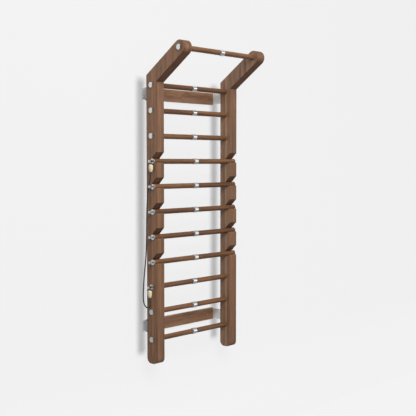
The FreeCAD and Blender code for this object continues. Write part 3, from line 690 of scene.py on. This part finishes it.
strip_colour = ramp(tree, lightness, [
    (0.0, on_screen(88, 59, 43, WOOD_GAIN)), (0.3, on_screen(109, 77, 57, WOOD_GAIN)),
    (0.6, on_screen(117, 83, 59, WOOD_GAIN)), (1.0, on_screen(135, 97, 66, WOOD_GAIN))])
grain_colour = ramp(tree, wood.outputs["Tone"], [
    (0.2, (0.56, 0.52, 0.48, 1)), (0.5, (1.0, 1.0, 1.0, 1)), (0.8, (1.36, 1.34, 1.3, 1))])
colour = mix(tree, "MULTIPLY", 1.0, strip_colour, grain_colour)
# The side tint is painted sheen; the front tint is a small shift of colour.
face_tint_and_sheen = mix(tree, "MIX", sideways, mix(tree, "MIX", on_right, *FRONT_TINTS), mix(tree, "MIX", on_right, *SIDE_SHEEN_TINTS))
colour = mix(tree, "MULTIPLY", 1.0, colour, face_tint_and_sheen)
# Up and down faces: end grain darkening plus painted shade.
end_grain_and_shade = maths(tree, "POWER", maths(tree, "ABSOLUTE", facing["Z"]), 1.5)
colour = mix(tree, "MULTIPLY", maths(tree, "MULTIPLY", end_grain_and_shade, END_GRAIN_AND_SHADE), colour, END_GRAIN_SHADE_COLOUR)
satin = maths(tree, "MULTIPLY_ADD", end_grain_and_shade, END_ROUGH, PANEL_SATIN)
finish_wood(tree, shader, colour, wood, satin, PANEL_GLOSS)
print("panel walnut", len(tree.nodes), "nodes")


# %% Walnut of the rungs and boards
RUNG_PITCH = 0.189
BOARD_CELL = 4.0
SEED_PER_PIECE = 3.7


def lengthwise_walnut(name, stops, cell, figure_size, satin, gloss):
    """Walnut whose grain runs along X. Each piece of it, counted by height and by side, has its own tone."""
    material, tree, shader = new_material(name)
    place = split(tree, node(tree, "ShaderNodeTexCoord").outputs["Object"])
    turned_place = node(tree, "ShaderNodeCombineXYZ", {"X": place["Y"], "Y": place["Z"], "Z": place["X"]})
    height = maths(tree, "ROUND", maths(tree, "DIVIDE", place["Z"], cell))
    side = maths(tree, "SIGN", place["X"])
    which = maths(tree, "ADD", maths(tree, "MULTIPLY", height, 3.0), side)
    own_tone = node(tree, "ShaderNodeTexWhiteNoise", {"W": which}, noise_dimensions="1D").outputs["Value"]
    wood = node(tree, "ShaderNodeGroup", {"Figure Size": figure_size, "Place": turned_place.outputs[0],
                                          "Seed": maths(tree, "MULTIPLY", which, SEED_PER_PIECE)}, node_tree=grain)
    base = ramp(tree, own_tone, stops)
    shade = ramp(tree, wood.outputs["Tone"], [
        (0.2, (0.5, 0.46, 0.42, 1)), (0.5, (1.0, 1.0, 1.0, 1)), (0.8, (1.36, 1.34, 1.28, 1))])
    colour = mix(tree, "MULTIPLY", 1.0, base, shade)
    finish_wood(tree, shader, colour, wood, satin, gloss)
    return material


rung_walnut = lengthwise_walnut("rung_walnut", [
    (0.0, on_screen(97, 65, 43, WOOD_GAIN)), (0.5, on_screen(105, 72, 48, WOOD_GAIN)),
    (1.0, on_screen(122, 85, 57, WOOD_GAIN))], RUNG_PITCH, figure_size=40.0, satin=0.3, gloss=0.2)
board_walnut = lengthwise_walnut("board_walnut", [
    (0.0, on_screen(149, 110, 82, WOOD_GAIN)), (1.0, on_screen(153, 113, 84, WOOD_GAIN))], BOARD_CELL,
    figure_size=30.0, satin=0.4, gloss=0.42)
print("rung and board walnut made")

# %% [markdown]
# ## Polished and plain steel
# Steel is a metallic surface whose colour is its reflection. Turned parts keep very fine rings from the lathe; the
# rings follow the profile, so they read the piece's own UV map, in which U is the distance along the profile.

# %% The turning marks group
marks, marks_in, marks_out = new_group(
    "turning_marks", [("Profile Place", "Vector", None), ("Rings per Metre", "Float", 2500.0)],
    [("Height", "Float", None), ("Smudge", "Float", None)])
along = split(marks, marks_in["Profile Place"])["X"]
ring_noise = node(marks, "ShaderNodeTexNoise", {"W": maths(marks, "MULTIPLY", along, marks_in["Rings per Metre"]),
                                                "Scale": 1.0, "Detail": 2.0}, noise_dimensions="1D").outputs["Fac"]
smudges = noise(marks, marks_in["Profile Place"], 14.0, 3.0)
marks.links.new(ring_noise, marks_out["Height"])
marks.links.new(smudges, marks_out["Smudge"])
print("turning_marks has", len(marks.nodes), "nodes")


# %% Metals
def metal(name, colour, roughness, spread, relief, rings=2500.0):
    """Metal with lathe rings: its roughness varies round a middle value, and the rings give a faint relief."""
    material, tree, shader = new_material(name)
    uv = node(tree, "ShaderNodeTexCoord").outputs["UV"]
    marked = node(tree, "ShaderNodeGroup", {"Rings per Metre": rings, "Profile Place": uv}, node_tree=marks).outputs
    rough = maths(tree, "ADD", roughness - spread / 2, maths(tree, "MULTIPLY", marked["Smudge"], spread))
    smudged = ramp(tree, marked["Smudge"], [(0.3, (0.7, 0.7, 0.7, 1)), (0.7, (1, 1, 1, 1))])
    feed(tree, shader, {"Base Color": mix(tree, "MULTIPLY", 0.12, colour, smudged), "Roughness": rough,
                        "Normal": bump(tree, relief, 0.0001, marked["Height"]), "Metallic": 1.0})
    return material


polished_steel = metal("polished_steel", (0.58, 0.60, 0.61, 1), roughness=0.11, spread=0.06, relief=0.02)
screw_steel = metal("screw_steel", (0.55, 0.55, 0.54, 1), roughness=0.32, spread=0.12, relief=0.2, rings=900.0)
print("made", polished_steel.name, "and", screw_steel.name)

# %% [markdown]
# ## Powder coat and drawn rod
# The brackets are bent plates with a satin grey coat, which has the faint orange-peel relief of powder that has
# melted. The rods inside the rungs are plain drawn steel with fine lines along their length. Both are CAD nodes, so
# their patterns read Object coordinates.

# %% Brackets and rods
bracket_grey, tree, shader = new_material("bracket_grey")
place = node(tree, "ShaderNodeTexCoord").outputs["Object"]
peel = noise(tree, place, 900.0, 2.0)
cloud = noise(tree, place, 18.0, 3.0)
feed(tree, shader, {
    "Base Color": ramp(tree, cloud, [(0.3, on_screen(213, 217, 217)), (0.7, on_screen(224, 226, 225))]),
    "Roughness": maths(tree, "ADD", 0.34, maths(tree, "MULTIPLY", cloud, 0.14)),
    "Normal": bump(tree, 0.18, 0.0003, peel), "Metallic": 0.2})

rod_steel, tree, shader = new_material("rod_steel")
place = node(tree, "ShaderNodeTexCoord").outputs["Object"]
drawn = node(tree, "ShaderNodeVectorMath", {0: place, 1: (0.02, 1.0, 1.0)}, operation="MULTIPLY").outputs[0]
scratch = noise(tree, drawn, 2600.0, 2.0)
feed(tree, shader, {
    "Base Color": ramp(tree, scratch, [(0.3, (0.42, 0.42, 0.42, 1)), (0.7, (0.6, 0.6, 0.6, 1))]),
    "Roughness": maths(tree, "ADD", 0.25, maths(tree, "MULTIPLY", scratch, 0.2)), "Metallic": 1.0})
print("bracket and rod finishes made")

# %% [markdown]
# ## Woven cover of the cord
# The cover is a tube of black yarns that cross at a slant. Two waves that run round the cord in opposite directions
# as they go along it make that pattern: where one is high its yarns lie on top. The waves read the cord's own UV
# map, so they follow every bend.

# %% The braid
BRAID_PITCH = 0.006
BRAID_YARNS = 8
cord_black, tree, shader = new_material("cord_black")
uv = split(tree, node(tree, "ShaderNodeTexCoord").outputs["UV"])
forward = maths(tree, "MULTIPLY", uv["X"], 2 * math.pi / BRAID_PITCH)
round_it = maths(tree, "MULTIPLY", uv["Y"], 2 * math.pi * BRAID_YARNS)
left_yarns = maths(tree, "SINE", maths(tree, "ADD", round_it, forward))
right_yarns = maths(tree, "SINE", maths(tree, "SUBTRACT", round_it, forward))
weave = maths(tree, "MAXIMUM", left_yarns, right_yarns)
weave = maths(tree, "MULTIPLY", maths(tree, "ADD", weave, 1.0), 0.5)
feed(tree, shader, {
    "Base Color": ramp(tree, weave, [(0.2, on_screen(12, 11, 11)), (0.9, on_screen(44, 41, 40))]),
    "Roughness": maths(tree, "SUBTRACT", 0.75, maths(tree, "MULTIPLY", weave, 0.2)),
    "Normal": bump(tree, 0.6, 0.0004, weave), "Sheen Weight": 0.05})
print("braid of", BRAID_YARNS, "yarns each way")

# %% [markdown]
# ## Moulded cream plastic
# The ferrules are a warm cream plastic. The groove is darkened with painted shade, by the mask stored on the mesh.
# A faint mottling keeps the large faces from looking like paint.

# %% Ferrule plastic
ferrule_cream, tree, shader = new_material("ferrule_cream")
mottle = noise(tree, node(tree, "ShaderNodeTexCoord").outputs["Object"], 260.0, 3.0)
unshaded_cream = ramp(tree, mottle, [(0.3, on_screen(200, 186, 152)), (0.7, on_screen(212, 199, 168))])
in_groove = node(tree, "ShaderNodeAttribute", attribute_name="groove").outputs["Fac"]
# painted shade in the groove, deeper where the stored mask is higher
shaded = maths(tree, "MULTIPLY", in_groove, 0.75)
feed(tree, shader, {
    "Base Color": mix(tree, "MIX", shaded, unshaded_cream, on_screen(150, 134, 106)),
    "Roughness": maths(tree, "ADD", 0.38, maths(tree, "MULTIPLY", mottle, 0.16)),
    "Normal": bump(tree, 0.08, 0.0003, mottle),
    "Subsurface Weight": 0.05, "Subsurface Radius": (0.002, 0.0015, 0.001)})
print("ferrule plastic", len(tree.nodes), "nodes")

# %% [markdown]
# ## Painting
# The record names a material slot for each CAD part, and the new pieces say theirs themselves. A table from slot to
# material is all it takes to paint both.

# %% Giving every piece its material
FINISHES = {
    "walnut_panel": panel_walnut, "walnut_rung": rung_walnut, "walnut_board": board_walnut,
    "polished_steel": polished_steel, "rod_steel": rod_steel, "bracket_steel": bracket_grey,
    "screw_steel": screw_steel, "cord_black": cord_black, "ferrule_cream": ferrule_cream,
}


def paint(piece, material):
    """Make one material the only one of a piece."""
    piece.data.materials.clear()
    piece.data.materials.append(material)


for subpart in frame["record"]["subparts"]:
    paint(frame["nodes"][subpart["node"]], FINISHES[subpart["material_slot"]])
for piece in [*steel, *screws, *loops.values(), *ferrules.values(), cord_piece]:
    paint(piece, FINISHES[piece["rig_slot"]])
print("painted", len(frame["nodes"]), "CAD nodes and", len(steel) + len(screws) + 5, "new pieces")

# %% [markdown]
# ## Studio
# The wall bars hang on a plain pale wall that runs down into a pale floor in one smooth sweep, so no line shows
# where they meet. The paint glows by just the amount that the shadow lamp does not give it, which keeps the sweep
# evenly pale from wall to floor. It lights other things by less than it seems to, as if it stood further off, so
# the undersides of the rungs stay dark, and steel mirrors it darker low down than high up. The sweep is drawn from
# its front only: seen from behind, it lets the view through to the back of the object.

# %% Wall, cove and floor
WALL_Y, FLOOR_Z, COVE = 0.0006, -1.75, 0.6
WALL_TOP, FLOOR_FRONT, HALF_WIDTH = 5.0, -9.0, 9.0


def sweep_profile():
    """Line of (y, z): down the wall, round a quarter circle, and forward along the floor."""
    angle = np.linspace(0, np.pi / 2, 24)
    cove = np.stack([WALL_Y - COVE + COVE * np.cos(angle), FLOOR_Z + COVE - COVE * np.sin(angle)], axis=1)
    return np.concatenate([[(WALL_Y, WALL_TOP)], cove, [(FLOOR_FRONT, FLOOR_Z)]])


profile = sweep_profile()
width = np.array([-HALF_WIDTH, HALF_WIDTH])
sweep = np.stack([np.broadcast_to(width, (len(profile), 2)), np.repeat(profile[:, :1], 2, 1),
                  np.repeat(profile[:, 1:], 2, 1)], axis=-1).reshape(-1, 3)
rows = np.arange(len(profile) - 1) * 2
studio_mesh = bpy.data.meshes.new("studio")
studio_mesh.from_pydata(sweep.tolist(), [], np.stack([rows, rows + 2, rows + 3, rows + 1], axis=1).tolist())
studio_mesh.shade_smooth()
studio = bpy.data.objects.new("studio", studio_mesh)
bpy.context.scene.collection.objects.link(studio)
print("studio normal at the wall", [round(v, 2) for v in studio_mesh.polygons[0].normal])

# %% The studio's paint
PALE = 0.868
SHADOW_DEPTH = 0.385
DARK_GROUND = 0.05
LIT_SHARE = 0.2
MIRROR_LOW, MIRROR_HIGH, MIRROR_FLOOR = 0.2, 1.45, 0.5
studio_paint = bpy.data.materials.new("studio_paint")
studio_paint.use_nodes = True
tree = studio_paint.node_tree
tree.nodes.clear()
geometry = node(tree, "ShaderNodeNewGeometry")
facing = split(tree, geometry.outputs["Normal"])
glow = maths(tree, "MULTIPLY_ADD", facing["Y"], SHADOW_DEPTH, PALE - DARK_GROUND)
rays = node(tree, "ShaderNodeLightPath").outputs


def fade(tree, value, start, end, first, last):
    """Value mapped from start...end to first...last, and held there outside."""
    return node(tree, "ShaderNodeMapRange", {"Value": value, "From Min": start, "From Max": end, "To Min": first,
                                             "To Max": last}).outputs[0]


level = split(tree, geometry.outputs["Position"])["Z"]
mirrored = maths(tree, "MAXIMUM", fade(tree, level, -1.3, 1.2, MIRROR_LOW, MIRROR_HIGH),
                 maths(tree, "MULTIPLY", facing["Z"], MIRROR_FLOOR))
for ray, share in (("Is Diffuse Ray", LIT_SHARE), ("Is Glossy Ray", mirrored)):
    kept = node(tree, "ShaderNodeMix", {"Factor": rays[ray], 2: 1.0, 3: share}).outputs[0]
    glow = maths(tree, "MULTIPLY", glow, kept)
shader = node(tree, "ShaderNodeBsdfPrincipled", {
    "Base Color": (DARK_GROUND, DARK_GROUND, DARK_GROUND, 1), "Roughness": 1.0, "Specular IOR Level": 0.0,
    "Emission Color": (1, 1, 1, 1), "Emission Strength": glow})
one_sided = node(tree, "ShaderNodeMixShader", {0: geometry.outputs["Backfacing"], 1: shader.outputs[0],
                                               2: node(tree, "ShaderNodeBsdfTransparent").outputs[0]})
node(tree, "ShaderNodeOutputMaterial", {"Surface": one_sided.outputs[0]})
paint(studio, studio_paint)
print("studio paint", len(tree.nodes), "nodes")

# %% [markdown]
# ## Light
# A shadow lamp, 26 degrees wide, shines straight at the wall. It is linked so that it lights the studio alone, and
# only two cards inside the side panels stand in its way: they put a soft shadow beside each panel. A key lamp from
# the front left, 38 degrees up, models the object, and a softbox in front of the arms makes the upper half a little
# brighter. Reflections show neither of them. The rest is soft light from all round, strongest from above. Polished
# steel mirrors a room that is dark towards the camera, with one bright patch to the right.

# %% The shadow lamp
def far_lamp(name, energy, width, lean, turn):
    """Sun lamp that shines along +Y, leaned down by one angle and turned to the right by another, in degrees."""
    data = bpy.data.lights.new(name, "SUN")
    data.energy = energy
    data.angle = math.radians(width)
    lamp = bpy.data.objects.new(name, data)
    lamp.rotation_euler = (math.radians(90 - lean), 0, math.radians(-turn))
    bpy.context.scene.collection.objects.link(lamp)
    return lamp


shadow_lamp = far_lamp("shadow_lamp", math.pi * SHADOW_DEPTH / DARK_GROUND, width=26, lean=0, turn=0)
lit_by_it = bpy.data.collections.new("lit_by_shadow_lamp")
lit_by_it.objects.link(studio)
shadow_lamp.light_linking.receiver_collection = lit_by_it

# %% The shadow cards
CARD_BOTTOM, CARD_TOP = -1.105, 1.005
CARD_MARGIN, CARD_DEPTH = 0.002, 0.03
in_its_way = bpy.data.collections.new("in_the_way_of_shadow_lamp")
for side in ("left", "right"):
    low, high = (np.array(corner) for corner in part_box(f"side_panel_{side}"))
    inner, outer, y = low[0] + CARD_MARGIN, high[0] - CARD_MARGIN, high[1] - CARD_DEPTH
    card_mesh = bpy.data.meshes.new(f"shadow_card_{side}")
    card_mesh.from_pydata([(inner, y, CARD_BOTTOM), (outer, y, CARD_BOTTOM), (outer, y, CARD_TOP),
                           (inner, y, CARD_TOP)], [], [(0, 1, 2, 3)])
    card = bpy.data.objects.new(f"shadow_card_{side}", card_mesh)
    bpy.context.scene.collection.objects.link(card)
    in_its_way.objects.link(card)
shadow_lamp.light_linking.blocker_collection = in_its_way

# %% The key lamp
KEY_POWER = math.pi * 0.85
key_lamp = far_lamp("key_lamp", KEY_POWER, width=24, lean=38, turn=29)
key_lamp.visible_glossy = False
print("key lamp", round(key_lamp.data.energy, 2), "W/m2")

# %% The softbox
BOX_PLACE, BOX_AIM = Vector((-1.3, -2.6, 1.9)), Vector((-0.1, -0.15, 0.8))
box_data = bpy.data.lights.new("softbox", "AREA")
box_data.shape = "SQUARE"
box_data.size = 1.0
box_data.energy = 52
softbox = bpy.data.objects.new("softbox", box_data)
softbox.location = BOX_PLACE
softbox.rotation_euler = (BOX_AIM - BOX_PLACE).to_track_quat("-Z", "Y").to_euler()
softbox.visible_glossy = False
bpy.context.scene.collection.objects.link(softbox)
print("softbox at", tuple(round(v, 2) for v in softbox.location))

# %% The light from all round
world = bpy.data.worlds.new("studio_air")
bpy.context.scene.world = world
world.use_nodes = True
tree = world.node_tree
tree.nodes.clear()
direction = node(tree, "ShaderNodeTexCoord").outputs["Generated"]
height = split(tree, direction)["Z"]
rays = node(tree, "ShaderNodeLightPath").outputs


def towards(other):
    """Cosine of the angle between the direction looked in and another one."""
    return node(tree, "ShaderNodeVectorMath", {0: direction, 1: other}, operation="DOT_PRODUCT").outputs["Value"]


def background(colour, strength):
    """Background of one colour."""
    return node(tree, "ShaderNodeBackground", {"Color": (colour, colour, colour, 1), "Strength": strength}).outputs[0]


TO_CAMERA, TO_PATCH = (-0.73, -0.68, 0), (0.69, -0.7, 0.15)
PATCH_LIGHT = 1.6
SEEN_AIR = 0.888
soft_light = maths(tree, "MULTIPLY", fade(tree, height, -0.5, 0.9, 0.08, 0.9),
                   fade(tree, towards(TO_CAMERA), 0.5, 0.92, 1, 0.12))
mirrored = maths(tree, "MULTIPLY", fade(tree, height, -0.6, 0.8, 0.16, 0.95),
                 fade(tree, towards(TO_CAMERA), 0.35, 0.85, 1, 0.16))
mirrored = maths(tree, "ADD", mirrored, fade(tree, towards(TO_PATCH), 0.955, 0.985, 0, PATCH_LIGHT))
in_mirror = node(tree, "ShaderNodeMixShader", {0: rays["Is Glossy Ray"], 1: background(1, soft_light),
                                               2: background(1, mirrored)})
air = node(tree, "ShaderNodeMixShader", {0: rays["Is Camera Ray"], 1: in_mirror.outputs[0],
                                         2: background(SEEN_AIR, 1.0)})
node(tree, "ShaderNodeOutputWorld", {"Surface": air.outputs[0]})
bpy.context.scene.view_settings.view_transform = "Standard"
print("lights and air ready")
